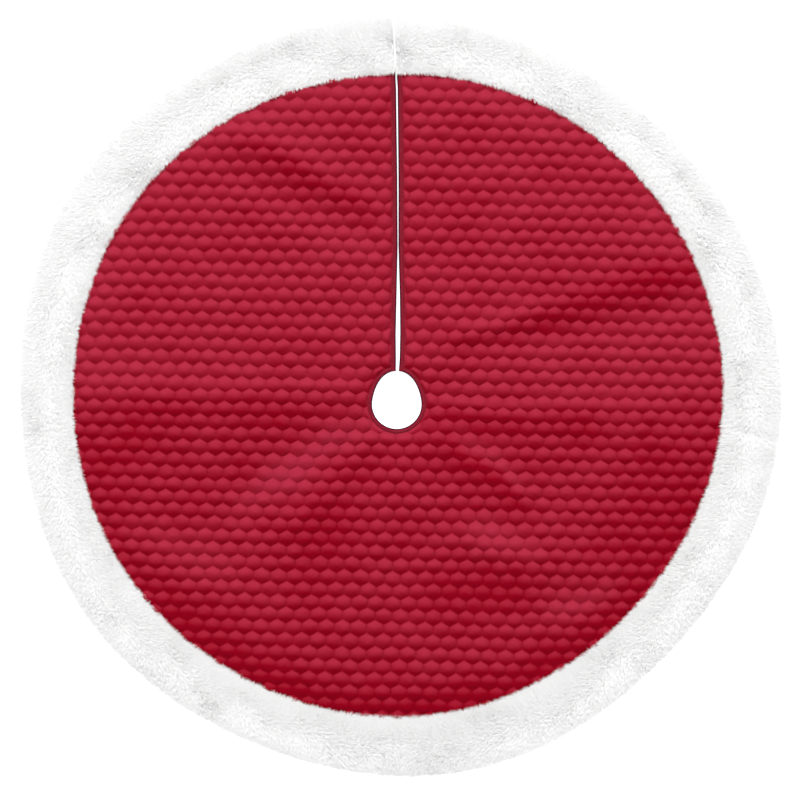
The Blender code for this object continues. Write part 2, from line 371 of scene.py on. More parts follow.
def noise(tree, place, scale, detail=2.0, roughness=0.5):
    """A cloudy value round 0.5 at each place."""
    node = tree.nodes.new("ShaderNodeTexNoise")
    node.inputs["Scale"].default_value = scale
    node.inputs["Detail"].default_value = detail
    node.inputs["Roughness"].default_value = roughness
    tree.links.new(place, node.inputs["Vector"])
    return node.outputs["Fac"]


def blend_colour(tree, share, first, second):
    """The first colour where share is 0, the second where it is 1."""
    node = tree.nodes.new("ShaderNodeMix")
    node.data_type = "RGBA"
    tree.links.new(share, node.inputs["Factor"])
    tree.links.new(first, node.inputs["A"])
    tree.links.new(second, node.inputs["B"])
    return node.outputs["Result"]


def spread(tree, value, low, high):
    """Maps low..high of a value to 0..1."""
    node = tree.nodes.new("ShaderNodeMapRange")
    tree.links.new(value, node.inputs["Value"])
    node.inputs["From Min"].default_value = low
    node.inputs["From Max"].default_value = high
    return node.outputs["Result"]


# Pile that has been brushed this way and that: patches of two near colours, with fine fibres on top. Where
# the velvet's nap attribute is high, a pale tip colour is mixed in. This is a painted sheen, which mostly
# stands in for the lamp's light on the pile.
pile, pile_in, pile_out = node_group(
    "pile", [("Color", "NodeSocketColor", (1, 1, 1, 1)), ("Brushed Color", "NodeSocketColor", (1, 1, 1, 1)),
             ("Painted Sheen Color", "NodeSocketColor", (1, 1, 1, 1)), ("Nap And Painted Sheen", "NodeSocketFloat", 0.0)],
    [("Color", "NodeSocketColor"), ("Height", "NodeSocketFloat")])
place = pile.nodes.new("ShaderNodeTexCoord").outputs["Object"]
patches = spread(pile, noise(pile, place, 45.0, 4.0, 0.6), 0.36, 0.66)
fibres = noise(pile, place, 900.0, 3.0, 0.7)
brushed_pile = blend_colour(pile, patches, pile_in.outputs["Color"], pile_in.outputs["Brushed Color"])
pile.links.new(blend_colour(pile, pile_in.outputs["Nap And Painted Sheen"], brushed_pile, pile_in.outputs["Painted Sheen Color"]),
               pile_out.inputs["Color"])
pile.links.new(fibres, pile_out.inputs["Height"])


def pile_material(name, colour, brushed, painted_sheen, bump, roughness, **sockets):
    """A material on the pile group: two brushed colours, a pale colour of painted sheen, and fibres as a
    bump.
    """
    material = plain_material(name, colour, roughness, **sockets)
    tree = material.node_tree
    shader = tree.nodes["Principled BSDF"]
    group = tree.nodes.new("ShaderNodeGroup")
    group.node_tree = pile
    group.inputs["Color"].default_value = (*colour, 1)
    group.inputs["Brushed Color"].default_value = (*brushed, 1)
    group.inputs["Painted Sheen Color"].default_value = (*painted_sheen, 1)
    nap_and_painted_sheen = tree.nodes.new("ShaderNodeAttribute")
    nap_and_painted_sheen.attribute_name = "nap_and_painted_sheen"
    tree.links.new(nap_and_painted_sheen.outputs["Fac"], group.inputs["Nap And Painted Sheen"])
    tree.links.new(group.outputs["Color"], shader.inputs["Base Color"])
    relief = tree.nodes.new("ShaderNodeBump")
    relief.inputs["Strength"].default_value = bump
    relief.inputs["Distance"].default_value = 0.0006
    tree.links.new(group.outputs["Height"], relief.inputs["Height"])
    tree.links.new(relief.outputs["Normal"], shader.inputs["Normal"])
    return material


# The third colour, a pale pink, is a painted sheen. The nap attribute mixes it in, most where slopes face the
# lamp.
velvet = pile_material("red_velvet", (0.215, 0.0002, 0.0075), (0.235, 0.0004, 0.0090),
                       (0.330, 0.0190, 0.0420), 0.35, 0.75, Specular_IOR_Level=0.015, Sheen_Weight=0.04,
                       Sheen_Roughness=0.4, Sheen_Tint=(1.0, 0.5, 0.55, 1))
# How much of the pale painted sheen the velvet shows: a little everywhere, more on slopes that fall towards
# +Y and so face the lamp, fully so at the slope set below, and less along the quilting lines, up to the share
# of a puff's height set below. There the pile is crushed, and the darker colour is also painted shade in the
# valleys.
OPEN_EVERYWHERE, SHEEN_PAINTED_BY_SLOPE, BY_LAY_AND_PAINTED_LIGHT = 0.075, 0.85, 0.48
FULL_SHEEN_SLOPE, SLOPE_SPAN, CRUSHED_AND_SHADED, CRUSHED_AND_SHADED_BELOW = 0.55, 0.0016, 0.20, 0.45
# Paler or darker patches beside the packing ridges, painted light and shade of the folds: middle,
# half-length, half-width, turn in degrees and amount, above 0 paler and below 0 darker.
PAINTED_FOLD_LIGHT = [
    ((-0.157, -0.113), 0.125, 0.026, 36, 1.10),
    ((0.140, -0.094), 0.090, 0.010, -38, 0.60),
    ((0.140, -0.125), 0.080, 0.012, -42, -0.60),
    ((0.395, 0.182), 0.125, 0.030, 14, -0.85),
    ((0.190, 0.100), 0.110, 0.024, 20, -0.30),
    ((-0.140, 0.345), 0.125, 0.016, -30, -0.45),
    ((-0.160, 0.420), 0.090, 0.030, -20, 0.20),
    ((-0.240, -0.022), 0.230, 0.020, 0, -0.30),
    ((-0.430, -0.090), 0.075, 0.036, 35, -0.40),
    ((0.170, -0.045), 0.130, 0.024, -6, -0.35),
    ((0.430, -0.150), 0.060, 0.100, 0, -0.30),
    ((0.165, -0.230), 0.070, 0.022, -25, 0.70),
    ((0.135, -0.305), 0.085, 0.032, 0, -0.70),
    ((0.285, -0.330), 0.070, 0.020, 20, 0.80),
    ((0.345, -0.235), 0.040, 0.040, 0, -0.45),
    ((-0.110, -0.220), 0.055, 0.050, 0, -0.50),
    ((-0.350, -0.240), 0.120, 0.034, -22, 0.45),
    ((-0.300, -0.345), 0.080, 0.036, -35, -0.30),
]


def lay_and_painted_light(x, y):
    """Random patches of the pile's lay, with painted light and shade: below 0 darker, above 0 paler."""
    # Painted light: paler towards +Y, where the lamp stands, and darker towards -Y.
    lay = 0.16 * np.tanh((y + 0.02) / 0.02) \
        + 0.16 * soft_noise(x, y, 0.021, 33) + 0.14 * soft_noise(x, y, 0.06, 34)
    from_seam = seam_reach(np.arctan2(y, x)) - np.hypot(x, y)
    # Painted light near the seam: paler on the +Y side and darker on the -Y side.
    lay += y / SEAM_RADIUS * np.exp(-(np.maximum(from_seam, 0) / 0.052) ** 2) * np.where(y < 0, 1.0, 0.4)
    # Painted light and shade of the folds, from the listed patches.
    for (px, py), long, wide, turn, amount in PAINTED_FOLD_LIGHT:
        cos, sin = math.cos(math.radians(turn)), math.sin(math.radians(turn))
        along, side = (x - px) * cos + (y - py) * sin, (y - py) * cos - (x - px) * sin
        side = side + 0.008 * soft_noise(x, y, 0.05, 35)
        lay += amount * np.exp(-(along / long) ** 4 - (side / wide) ** 2)
    return lay


for quarter in QUARTERS:
    x, y = quarter_grid(quarter, VELVET_STEP, lambda angle: hole_reach(angle) + UNDER_BINDING,
                        lambda angle: ray_reach(angle, seam_reach), UNDER_BINDING)
    z = velvet_height(x, y)
    columns, rows = x.shape
    piece = make_piece("velvet_" + quarter, np.stack([x, y, z], axis=-1).reshape(-1, 3),
                       grid_faces(columns, rows, quarter in ("upper_left", "lower_left")),
                       plan=np.stack([x, y], axis=-1).reshape(-1, 2))
    rise = (velvet_height(x, y + SLOPE_SPAN) - velvet_height(x, y - SLOPE_SPAN)) / (2 * SLOPE_SPAN)
    crushed_and_shaded = CRUSHED_AND_SHADED * (1 - smooth(puff(x, y) / PUFF_HEIGHT / CRUSHED_AND_SHADED_BELOW))
    # Painted light: the pale sheen colour on slopes that face the lamp at +Y. Less of it along the quilting
    # valleys is painted shade.
    nap_and_painted_sheen = np.clip(OPEN_EVERYWHERE + SHEEN_PAINTED_BY_SLOPE * smooth(0.5 - 0.5 * rise / FULL_SHEEN_SLOPE)
                  + BY_LAY_AND_PAINTED_LIGHT * lay_and_painted_light(x, y) - crushed_and_shaded, 0, 1)
    painted_sheen_values = piece.data.attributes.new("nap_and_painted_sheen", "FLOAT", "POINT").data
    painted_sheen_values.foreach_set("value", nap_and_painted_sheen.ravel().astype(np.float32))
    piece.data.materials.append(velvet)
    ride_quarter(piece, quarter)
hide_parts("velvet_face_left")
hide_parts("velvet_face_right")
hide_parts("velvet_face_main")


# ---- The lining ----
# A thin dark red satin-weave lining covers the whole underside, from the hole to the rim.
# It lies on the floor, a little puckered, and lifts over the turned-under bindings and the label.
LINING_STEP, LINING_THICKNESS = 0.0045, 0.0007
PUCKER, BINDING_LIFT, LABEL_LIFT = 0.0006, 0.0010, 0.0006
LABEL_WIDTH, LABEL_LENGTH = 0.030, 0.050
LABEL_X, LABEL_Y, _ = (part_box("care_label")[0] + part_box("care_label")[1]) / 2
LABEL_REACH = math.hypot(LABEL_X, LABEL_Y)
RIM_INSET = 0.0085
RIM_WAVES = ((2, 0.0032, 0.65), (3, 0.0039, -0.52), (4, 0.0022, -0.61), (5, 0.0034, 0.0), (6, 0.0019, 2.4))


def rim_reach(angle):
    """The cloth's outer edge: a circle pulled very slightly out of round, as a sewn fur edge is."""
    waves = sum(depth * np.cos(count * angle + turn) for count, depth, turn in RIM_WAVES)
    return RIM_RADIUS - RIM_INSET + waves


def lining_low(x, y):
    """The height of the lining's underside."""
    over_binding = BINDING_LIFT * (1 - smooth((edge_distance(x, y) - BINDING_WIDTH) / 0.004))
    along = (LABEL_X * x + LABEL_Y * y) / LABEL_REACH - LABEL_REACH
    across = (LABEL_X * y - LABEL_Y * x) / LABEL_REACH
    near_label = smooth(2.2 - np.abs(along) / (LABEL_LENGTH / 2)) \
        * smooth(2.2 - np.abs(across) / (LABEL_WIDTH / 2))
    pucker = PUCKER * (0.5 + 0.5 * soft_noise(x, y, 0.022, 41))
    return np.maximum(np.maximum(over_binding, pucker), LABEL_LIFT * near_label)


def shell(name, x, y, low, high, quarter):
    """A closed sheet between two surfaces over one grid."""
    columns, rows = x.shape
    top, size = np.arange(columns * rows).reshape(columns, rows), columns * rows
    near, far, first, last = top[:, 0], top[:, -1], top[0], top[-1]
    walls = [(near[:-1], near[:-1] + size, near[1:] + size, near[1:]),
             (far[1:], far[1:] + size, far[:-1] + size, far[:-1]),
             (first[:-1], first[1:], first[1:] + size, first[:-1] + size),
             (last[1:], last[:-1], last[:-1] + size, last[1:] + size)]
    faces = np.concatenate([grid_faces(columns, rows, False), grid_faces(columns, rows, True, size),
                            *[np.stack(wall, axis=1) for wall in walls]])
    if quarter in ("upper_left", "lower_left"):
        faces = faces[:, ::-1]
    flat = np.stack([x, y], axis=-1).reshape(-1, 2)
    beside = flat + [2 * RIM_RADIUS, 0]
    points = np.concatenate([np.column_stack([flat, high.ravel()]), np.column_stack([flat, low.ravel()])])
    return make_piece(name, points, faces, plan=np.concatenate([flat, beside]))


# Threads crossing at right angles, a little uneven.
weave, weave_in, weave_out = node_group(
    "weave", [("Color", "NodeSocketColor", (1, 1, 1, 1)), ("Shade Color", "NodeSocketColor", (1, 1, 1, 1)),
              ("Threads", "NodeSocketFloat", 1500.0)],
    [("Color", "NodeSocketColor"), ("Height", "NodeSocketFloat")])
place = weave.nodes.new("ShaderNodeTexCoord").outputs["Object"]
waves = []
for direction in ("X", "Y"):
    threads = weave.nodes.new("ShaderNodeTexWave")
    threads.bands_direction = direction
    threads.inputs["Distortion"].default_value = 0.6
    weave.links.new(place, threads.inputs["Vector"])
    per_wave = weave.nodes.new("ShaderNodeMath")
    per_wave.operation = "DIVIDE"
    per_wave.inputs[1].default_value = 20 / (2 * math.pi)
    weave.links.new(weave_in.outputs["Threads"], per_wave.inputs[0])
    weave.links.new(per_wave.outputs[0], threads.inputs["Scale"])
    waves.append(threads.outputs["Fac"])
crossing = weave.nodes.new("ShaderNodeMath")
crossing.operation = "MAXIMUM"
weave.links.new(waves[0], crossing.inputs[0])
weave.links.new(waves[1], crossing.inputs[1])
uneven = spread(weave, noise(weave, place, 60.0, 3.0), 0.3, 0.7)
weave.links.new(blend_colour(weave, uneven, weave_in.outputs["Shade Color"], weave_in.outputs["Color"]),
                weave_out.inputs["Color"])
weave.links.new(crossing.outputs[0], weave_out.inputs["Height"])


def woven_material(name, colour, shade, threads, bump, roughness, **sockets):
    """A material on the weave group: two near colours, so many threads a metre, and the weave as a bump."""
    material = plain_material(name, colour, roughness, **sockets)
    tree = material.node_tree
    shader = tree.nodes["Principled BSDF"]
    group = tree.nodes.new("ShaderNodeGroup")
    group.node_tree = weave
    group.inputs["Color"].default_value = (*colour, 1)
    group.inputs["Shade Color"].default_value = (*shade, 1)
    group.inputs["Threads"].default_value = threads
    tree.links.new(group.outputs["Color"], shader.inputs["Base Color"])
    relief = tree.nodes.new("ShaderNodeBump")
    relief.inputs["Strength"].default_value = bump
    relief.inputs["Distance"].default_value = 0.0003
    tree.links.new(group.outputs["Height"], relief.inputs["Height"])
    tree.links.new(relief.outputs["Normal"], shader.inputs["Normal"])
    return material


satin = woven_material("lining_satin", (0.17, 0.003, 0.012), (0.14, 0.002, 0.010), 1800.0, 0.3, 0.55,
                       Specular_IOR_Level=0.2, Sheen_Weight=0.03, Sheen_Tint=(1.0, 0.4, 0.45, 1))
for quarter in QUARTERS:
    x, y = quarter_grid(quarter, LINING_STEP, lambda angle: hole_reach(angle) + UNDER_BINDING,
                        lambda angle: ray_reach(angle, lambda a: rim_reach(a) - 0.0015), UNDER_BINDING)
    low = lining_low(x, y)
    piece = shell("lining_" + quarter, x, y, low, low + LINING_THICKNESS, quarter)
    piece.data.materials.append(satin)
    ride_quarter(piece, quarter)
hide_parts("lining_left")
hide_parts("lining_right")
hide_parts("lining_main")


# ---- The wadding ----
# White polyester wadding fills the space between lining and velvet. It is what the puffs stand up on.
WADDING_STEP, WADDING_INSET, WADDING_LEAST = 0.006, 0.0035, 0.001
OVER_LINING, BELOW_VELVET = 0.0012, 0.0008
wadding = woven_material("polyester_wadding", (0.85, 0.85, 0.83), (0.78, 0.78, 0.76), 400.0, 0.5, 0.95)
for quarter in QUARTERS:
    x, y = quarter_grid(quarter, WADDING_STEP, lambda angle: hole_reach(angle) + WADDING_INSET,
                        lambda angle: ray_reach(angle, lambda a: seam_reach(a) - 0.001), WADDING_INSET)
    low = lining_low(x, y) + LINING_THICKNESS + OVER_LINING
    high = np.maximum(panel_level(x, y) - BELOW_VELVET, low + WADDING_LEAST)
    piece = shell("wadding_" + quarter, x, y, low, high, quarter)
    piece.data.materials.append(wadding)
    ride_quarter(piece, quarter)
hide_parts("wadding_left")
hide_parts("wadding_right")
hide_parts("wadding_main")


# ---- The bindings ----
# A strip of red ribbon velvet is folded over every raw edge, one length round the hole and one down
# each side of the slit, so that the edge reads as a flat band. Its turned edge is painted much darker: a
# painted shade.
BINDING_TOP, BINDING_STEP = 0.0090, 0.003
# The folded strip's section, outer and inner face: how far into the cloth from the edge, and how high
# over the strip's top. The outer faces in the range set after the section turn down over the edge, and are
# painted dark: painted shade.
BINDING_OUTER = ((0.0070, -0.0012), (0.0067, -0.0002), (0.0045, 0.0001), (0.0017, -0.0001),
                 (0.0007, -0.0011), (0.0001, -0.0026), (-0.0001, -0.0048), (0.0001, -0.0072),
                 (0.0006, -0.0084), (0.0018, -0.0089), (0.0070, -0.0089))
BINDING_INNER = ((0.0068, -0.0013), (0.0064, -0.0010), (0.0045, -0.0008), (0.0022, -0.0011),
                 (0.0014, -0.0019), (0.0010, -0.0030), (0.0008, -0.0048), (0.0009, -0.0067),
                 (0.0012, -0.0077), (0.0020, -0.0082), (0.0068, -0.0083))
SHADE_PAINTED_FROM, SHADE_PAINTED_TO = 3, 9


def strip(name, edge, inward, top, material, painted_shade):
    """A folded strip of cloth along an edge. edge holds the points of the edge, inward the way into the cloth
    at each, and top the height of the strip's upper face. The last argument is the dark look painted on the
    edge that turns down: painted shade."""
    section = np.array(BINDING_OUTER + BINDING_INNER[::-1])
    count, half = len(section), len(BINDING_OUTER)
    rings = np.empty((len(edge), count, 3))
    rings[:, :, :2] = edge[:, None, :] + inward[:, None, :] * section[None, :, :1]
    rings[:, :, 2] = np.maximum(top[:, None] + section[None, :, 1], 0.0001)
    i, k = np.meshgrid(np.arange(len(edge) - 1), np.arange(count), indexing="ij")
    a, b, k_side = (i * count + k).ravel(), (i * count + (k + 1) % count).ravel(), k.ravel()
    sides = np.stack([a, b, b + count, a + count], axis=1)
    k = np.arange(half - 1)
    cap = np.stack([k, count - 1 - k, count - 2 - k, k + 1], axis=1)
    faces = np.concatenate([sides, cap, cap[:, ::-1] + (len(edge) - 1) * count])
    turning = np.cross(np.append(edge[1] - edge[0], 0), np.append(inward[0], 0))[2]
    if turning > 0:
        faces = faces[:, ::-1]
    piece = make_piece(name, rings.reshape(-1, 3), faces)
    for slot_material in (material, painted_shade):
        piece.data.materials.append(slot_material)
    # The turned-down faces take the dark material: painted shade on the binding's edge.
    painted_shade_faces = (k_side >= SHADE_PAINTED_FROM) & (k_side < SHADE_PAINTED_TO)
    looks = np.append(painted_shade_faces, np.zeros(2 * half - 2)).astype(np.int32)
    piece.data.polygons.foreach_set("material_index", looks)
    return piece


def slit_edge(side, distance=0.0):
    """Points down one side of the slit, from the hole to just under the plush, and the way into the cloth."""
    y = np.arange(HOLE_Y + HOLE_RADIUS + HOLE_POINT - 0.0004, SEAM_RADIUS + 0.006, BINDING_STEP)
    edge = np.column_stack([slit_middle(y) + side * (slit_gap(y) / 2 + distance), y])
    return edge, np.tile([float(side), 0.0], (len(y), 1))


def hole_edge(start, end, distance=0.0):
    """Points round the trunk hole between two angles, and the way into the cloth."""
    angle = np.radians(np.linspace(start, end, max(2, int(abs(end - start) / 3.0))))
    outward = np.column_stack([np.cos(angle), np.sin(angle)])
    reach = hole_reach(angle) + distance
    return np.array([HOLE_X, HOLE_Y]) + outward * reach[:, None], outward


ribbon = woven_material("binding_ribbon", (0.215, 0.009, 0.022), (0.190, 0.005, 0.017), 1600.0, 0.35, 0.7,
                        Specular_IOR_Level=0.05, Sheen_Weight=0.30, Sheen_Roughness=0.4,
                        Sheen_Tint=(1.0, 0.5, 0.55, 1))
# Painted shade: a much darker red for the binding's turned edge.
ribbon_painted_shade = woven_material("binding_edge_painted_shade", (0.055, 0.002, 0.018), (0.040, 0.001, 0.012), 1600.0,
                               0.35, 0.8, Specular_IOR_Level=0.05)
HOLE_ARCS = {"upper_left": (91.5, 180), "lower": (180, 360), "upper_right": (86.5, 0)}
for quarter, (start, end) in HOLE_ARCS.items():
    edge, inward = hole_edge(start, end)
    top = BINDING_TOP - 0.0003 + 0.0003 * soft_noise(edge[:, 0], edge[:, 1], 0.02, 51)
    piece = strip("hole_binding_" + quarter, edge, inward, top, ribbon, ribbon_painted_shade)
    ride_quarter(piece, quarter)
    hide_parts({"upper_left": "hole_binding_left", "lower": "hole_binding_main",
                        "upper_right": "hole_binding_right"}[quarter])
for side, hand in ((-1, "left"), (1, "right")):
    edge, inward = slit_edge(side)
    top = BINDING_TOP + 0.0004 * soft_noise(edge[:, 0] * 0, edge[:, 1], 0.03, 52 + side)
    piece = strip("slit_binding_" + hand, edge, inward, top, ribbon, ribbon_painted_shade)
    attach(piece, hand + "_flap")
    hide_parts("slit_binding_" + hand)


# ---- The threads ----
# Red topstitching holds the bindings down. Pale thread joins the velvet to the plush, and the plush's
# back to the lining at the rim. Each stitch is a short length of thread, thinner and sunk at both ends.
STITCH_LENGTH, STITCH_GAP, STITCH_INSET = 0.0030, 0.0009, 0.0046
THREAD_RADIUS = 0.00032
# The hole's topstitching starts this many degrees on from its binding, clear of the slit's.
STITCHING_STARTS = {"upper_left": 6, "lower": 0, "upper_right": -6}


def stitches(name, path, material, length=STITCH_LENGTH, gap=STITCH_GAP, radius=THREAD_RADIUS):
    """A row of separate stitches along a path of points, each one five rings of six points."""
    travelled = np.concatenate([[0], np.cumsum(np.linalg.norm(np.diff(path, axis=0), axis=1))])
    starts = np.arange(gap, travelled[-1] - length, length + gap)
    shares = np.array([0.0, 0.18, 0.5, 0.82, 1.0])
    swell = np.array([0.25, 0.9, 1.0, 0.9, 0.25])
    sink = np.array([-1.0, -0.1, 0.15, -0.1, -1.0])
    at = starts[:, None] + shares[None, :] * length
    middle = np.stack([np.interp(at, travelled, path[:, axis]) for axis in range(3)], axis=-1)
    middle[:, :, 2] += sink * radius
    ahead = middle[:, -1] - middle[:, 0]
    ahead /= np.linalg.norm(ahead, axis=1)[:, None]
    across = np.stack([-ahead[:, 1], ahead[:, 0], np.zeros(len(ahead))], axis=1)
    turn = np.arange(6) * math.pi / 3
    ring = across[:, None, :] * np.cos(turn)[None, :, None] \
        + np.array([0, 0, 1.0]) * np.sin(turn)[None, :, None]
    points = middle[:, :, None, :] + ring[:, None, :, :] * (swell * radius)[None, :, None, None]
    k, n = np.meshgrid(np.arange(4), np.arange(6), indexing="ij")
    a, b = (k * 6 + n).ravel(), (k * 6 + (n + 1) % 6).ravel()
    one = np.concatenate([np.stack([a, b, b + 6, a + 6], axis=1), [[3, 2, 1, 0], [0, 5, 4, 3]],
                          [[24, 25, 26, 27], [27, 28, 29, 24]]])
    faces = (np.arange(len(starts)) * 30)[:, None, None] + one[None]
    piece = make_piece(name, points.reshape(-1, 3), faces.reshape(-1, 4))
    piece.data.materials.append(material)
    return piece


def raised(edge, height):
    """The same path at a height over the floor."""
    return np.column_stack([edge, np.broadcast_to(height, len(edge))])


red_thread = woven_material("red_thread", (0.24, 0.008, 0.03), (0.20, 0.005, 0.022), 2500.0, 0.4, 0.45)
pale_thread = woven_material("pale_thread", (0.80, 0.78, 0.76), (0.70, 0.68, 0.66), 2500.0, 0.4, 0.55)
for quarter, (start, end) in HOLE_ARCS.items():
    edge, _ = hole_edge(start + STITCHING_STARTS[quarter], end, STITCH_INSET)
    piece = stitches("hole_topstitch_" + quarter, raised(edge, BINDING_TOP - 0.0001), red_thread)
    ride_quarter(piece, quarter)
    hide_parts({"upper_left": "hole_topstitch_left", "lower": "hole_topstitch_main",
                        "upper_right": "hole_topstitch_right"}[quarter])
for side, hand in ((-1, "left"), (1, "right")):
    edge, _ = slit_edge(side, STITCH_INSET)
    top = BINDING_TOP + 0.0002 + 0.0004 * soft_noise(edge[:, 0] * 0, edge[:, 1], 0.03, 52 + side)
    piece = stitches("slit_topstitch_" + hand, raised(edge, top), red_thread)
    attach(piece, hand + "_flap")
    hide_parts("slit_topstitch_" + hand)

SEAM_STITCH, RIM_STITCH, SEAM_STITCH_GAP, SEAM_THREAD_RADIUS = 0.0045, 0.0055, 0.0012, 0.00035
for quarter in QUARTERS:
    angle = np.radians(np.linspace(*QUARTERS[quarter], 240))
    for label, curve, inset, height, length in (
            ("border_seam_", seam_reach, 0.0012, 0.0078, SEAM_STITCH),
            ("rim_seam_", rim_reach, 0.0010, 0.0014, RIM_STITCH)):
        reach = ray_reach(angle, curve) - inset
        line = np.column_stack(place_on_rays(quarter, angle, reach, 0.004))
        piece = stitches(label + quarter, raised(line, height), pale_thread, length, SEAM_STITCH_GAP,
                         SEAM_THREAD_RADIUS)
        ride_quarter(piece, quarter)
        if quarter != "lower_right":
            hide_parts(label + {"upper_left": "left", "upper_right": "right",
                                        "lower_left": "main"}[quarter])


# ---- The plush border ----
# A band of white faux fur, sewn to the velvet and turned under at the rim. Its knitted back and the dense
# foot of its pile are one soft roll, and its two ends only butt at the slit.
OVER_VELVET, ROLL_STEP = 0.0035, 0.0045
ROLL_INNER, ROLL_OUTER, ROLL_CROWN, ROLL_LUMPS = 0.0092, 0.0036, 0.0062, 0.0009
UNDERSIDE_OVER_VELVET, UNDERSIDE_OVER_LINING = 0.0082, 0.0019
BUTT_DIP, CREASE_DEPTH = 0.0016, 0.0030


def roll_share(x, y):
    """0 at the border's inner edge, 1 at the rim."""
    angle = np.arctan2(y, x)
    inner = seam_reach(angle) - OVER_VELVET
    return np.clip((np.hypot(x, y) - inner) / (rim_reach(angle) - inner), 0, 1)


def roll_height(x, y):
    """The height of the foot of the pile, lower beside the butted ends and in a crease on the right."""
    share = roll_share(x, y)
    crown = 1 - np.abs(2 * share - 1) ** 3
    lumps = 0.6 * soft_noise(x, y, 0.034, 61) + 0.4 * soft_noise(x, y, 0.015, 62)
    beside_butt = np.exp(-(np.abs(x - slit_middle(y)) / 0.006) ** 2) * (y > 0)
    crease = np.exp(-((y + 0.057 + 0.25 * (x - 0.56)) / 0.009) ** 2) * smooth((x - 0.52) / 0.03)
    return ROLL_INNER + (ROLL_OUTER - ROLL_INNER) * share + crown * (
        ROLL_CROWN + ROLL_LUMPS * lumps - BUTT_DIP * beside_butt - CREASE_DEPTH * crease)


plush = pile_material("white_plush", (0.93, 0.93, 0.928), (0.915, 0.915, 0.913), (0.93, 0.93, 0.93), 0.2, 0.9,
                      Specular_IOR_Level=0.1, Sheen_Weight=0.1, Sheen_Roughness=0.6)
roll_pieces = {}
for quarter in QUARTERS:
    x, y = quarter_grid(quarter, ROLL_STEP,
                        lambda angle: ray_reach(angle, lambda a: seam_reach(a) - OVER_VELVET),
                        lambda angle: ray_reach(angle, rim_reach), 0.0)
    past_seam = smooth((np.hypot(x, y) - seam_reach(np.arctan2(y, x)) - 0.001) / 0.004)
    high = roll_height(x, y)
    low = UNDERSIDE_OVER_VELVET + (UNDERSIDE_OVER_LINING - UNDERSIDE_OVER_VELVET) * past_seam
    roll_pieces[quarter] = shell("plush_roll_" + quarter, x, y, low, np.maximum(high, low + 0.0005), quarter)
    roll_pieces[quarter].data.materials.append(plush)
    ride_quarter(roll_pieces[quarter], quarter)
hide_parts("plush_border_left")
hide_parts("plush_border_right")
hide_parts("plush_border_main")


# ---- The pile ----
# Fine white fibres stand all over the border in soft tufts, lean over the velvet at the inner edge and
# spill out over the rim. Both halves are combed from the slit round to the far side. Each group of fibres
# is one thin tapering blade.
BLADES, BLADE_LENGTH, BLADE_WIDTH, PILE_TOP = 60000, 0.0098, 0.0011, 0.0200
TUFT_SIZE, TUFT_PULL, BLADE_RELIEF = 0.0075, 0.25, 0.65
EDGE_LEAN, LEAN_SCATTER, TWIST_SCATTER, ROOT_DEPTH = 0.95, 0.22, 0.25, 0.0008
COMB_FADE = 0.022  # this near the slit the pile is combed less, which half closes the gap


def tuft_centres(x, y, seed):
    """The middle of the tuft that each point belongs to, on a jittered grid."""
    jitter = np.random.default_rng(seed).uniform(0.1, 0.9, (2, 256, 256))
    best, cx, cy = np.full(len(x), 9.0), x.copy(), y.copy()
    for di in (-1, 0, 1):
        for dj in (-1, 0, 1):
            i, j = np.floor(x / TUFT_SIZE).astype(int) + di, np.floor(y / TUFT_SIZE).astype(int) + dj
            px = (i + jitter[0, i % 256, j % 256]) * TUFT_SIZE
            py = (j + jitter[1, i % 256, j % 256]) * TUFT_SIZE
            away = np.hypot(px - x, py - y)
            nearer = away < best
            best, cx, cy = np.where(nearer, away, best), np.where(nearer, px, cx), np.where(nearer, py, cy)
    return cx, cy


def unit(vectors):
    """The same vectors, each one long."""
    return vectors / np.maximum(np.linalg.norm(vectors, axis=1), 1e-9)[:, None]


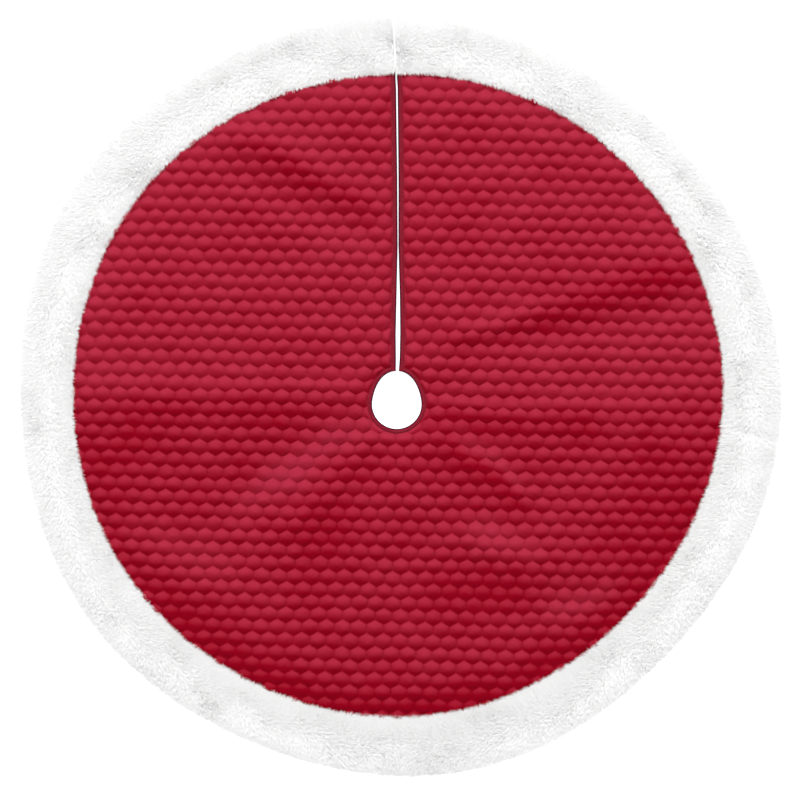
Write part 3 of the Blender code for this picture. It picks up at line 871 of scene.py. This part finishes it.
def pile_piece(name, quarter, low_share, high_share, seed):
    """Blades of pile over one quarter of the border, between two shares of its width."""
    draw = np.random.default_rng(seed)
    start, end = QUARTERS[quarter]
    angle = np.radians(start + (end - start) * draw.uniform(0, 1, BLADES))
    share = draw.uniform(low_share, high_share, BLADES)
    near = ray_reach(angle, lambda a: seam_reach(a) - OVER_VELVET + 0.0005)
    far = ray_reach(angle, lambda a: rim_reach(a) - 0.0003)
    x, y = place_on_rays(quarter, angle, near + (far - near) * share, 0.0004)
    step = 0.001
    slope_x = (roll_height(x + step, y) - roll_height(x - step, y)) / (2 * step)
    slope_y = (roll_height(x, y + step) - roll_height(x, y - step)) / (2 * step)
    upright = unit(np.column_stack([-slope_x, -slope_y, np.ones(BLADES)]))
    root = np.column_stack([x, y, roll_height(x, y) - ROOT_DEPTH])
    outward = unit(np.column_stack([x, y, np.zeros(BLADES)]))
    edge_lean = 2 * EDGE_LEAN * smooth(share) - EDGE_LEAN
    swirl = np.arctan2(y, x) + math.pi * (
        (0.5 if "left" in quarter else -0.5)
        + 0.30 * soft_noise(x, y, 0.050, 71) + 0.12 * soft_noise(x, y, 0.014, 72))
    combed = np.column_stack([np.cos(swirl), np.sin(swirl), np.zeros(BLADES)])
    beside_slit = np.where(y > 0, 0.6 * smooth(np.abs(x) / COMB_FADE) + 0.4, 1)
    comb = (0.9 - 0.5 * np.abs(edge_lean)) * beside_slit
    lean = outward * edge_lean[:, None] + combed * comb[:, None]
    lean[:, :2] += draw.normal(0, LEAN_SCATTER, (BLADES, 2))
    at_inner = 1 - smooth(share / 0.16)
    length = BLADE_LENGTH * draw.uniform(0.75 - 0.20 * at_inner, 1.15 + 0.10 * at_inner) \
        * (1 - 0.10 * np.abs(edge_lean)) * (1 + 0.10 * at_inner * soft_noise(x, y, 0.010, 76))
    first = unit(upright * 0.85 + lean)
    second = unit(upright * 0.40 + lean)
    middle = root + first * (0.5 * length)[:, None]
    tip = middle + second * (0.5 * length)[:, None]
    cx, cy = tuft_centres(tip[:, 0], tip[:, 1], 75)
    inside = 1 - np.abs(2 * share - 1) ** 4
    pull = TUFT_PULL * inside
    tip[:, 0] += (cx - tip[:, 0]) * pull
    tip[:, 1] += (cy - tip[:, 1]) * pull
    across = np.column_stack([lean[:, 1], -lean[:, 0], np.zeros(BLADES)])
    across = unit(across + draw.normal(0, TWIST_SCATTER, (BLADES, 3)))
    width = (BLADE_WIDTH * draw.uniform(0.75, 1.25, BLADES) * (1 - 0.45 * at_inner))[:, None]
    points = np.stack([root - across * width / 2, root + across * width / 2,
                       middle - across * width * 0.4, middle + across * width * 0.4, tip], axis=1)
    points[:, :, 2] = np.clip(points[:, :, 2], 0.0006, PILE_TOP)
    one = np.array([[0, 1, 3], [0, 3, 2], [2, 3, 4]])
    faces = ((np.arange(BLADES) * 5)[:, None, None] + one[None]).reshape(-1, 3)
    a, b, c = (points.reshape(-1, 3)[faces[:, corner]] for corner in range(3))
    face_down = np.cross(b - a, c - a)[:, 2] < 0
    faces[face_down] = faces[face_down][:, ::-1]
    spot = np.array([[-0.5, 0], [0.5, 0], [-0.4, 0.8], [0.4, 0.8], [0, 1.6]]) * BLADE_WIDTH
    plan = root[:, None, :2] + spot[None]
    piece = make_piece(name, points.reshape(-1, 3), faces, plan=plan.reshape(-1, 2))
    flat_side = unit(np.cross(across, tip - root))
    flat_side[flat_side[:, 2] < 0] *= -1
    facing = unit(flat_side * BLADE_RELIEF + np.array([0, 0, 1 - BLADE_RELIEF]))
    piece.data.normals_split_custom_set_from_vertices(np.repeat(facing, 5, axis=0).tolist())
    piece.data.materials.append(plush)
    ride_quarter(piece, quarter)
    return piece


for number, quarter in enumerate(QUARTERS):
    pile_piece("pile_inner_" + quarter, quarter, 0.0, 0.5, 80 + number)
    pile_piece("pile_outer_" + quarter, quarter, 0.5, 1.0, 90 + number)


# ---- The care label ----
# A small blank satin label, sewn under the lining near the rim, its ends lifted a little.
LABEL_COLUMNS, LABEL_ROWS = 10, 16
LABEL_THICKNESS, LABEL_END_LIFT, LABEL_OVER_FLOOR = 0.0003, 0.0001, 0.00005
across, along = np.meshgrid(np.linspace(-0.5, 0.5, LABEL_COLUMNS) * LABEL_WIDTH,
                            np.linspace(-0.5, 0.5, LABEL_ROWS) * LABEL_LENGTH, indexing="ij")
out_x, out_y = LABEL_X / LABEL_REACH, LABEL_Y / LABEL_REACH
x, y = LABEL_X + out_x * along - out_y * across, LABEL_Y + out_y * along + out_x * across
low = LABEL_OVER_FLOOR + LABEL_END_LIFT * smooth(np.abs(along) / (LABEL_LENGTH / 2))
care_label = shell("care_label_sewn", x, y, low, low + LABEL_THICKNESS, "lower_left")
label_satin = woven_material("label_satin", (0.90, 0.90, 0.88), (0.86, 0.86, 0.84), 2200.0, 0.3, 0.4)
care_label.data.materials.append(label_satin)
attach(care_label, "main_panel")
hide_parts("care_label")
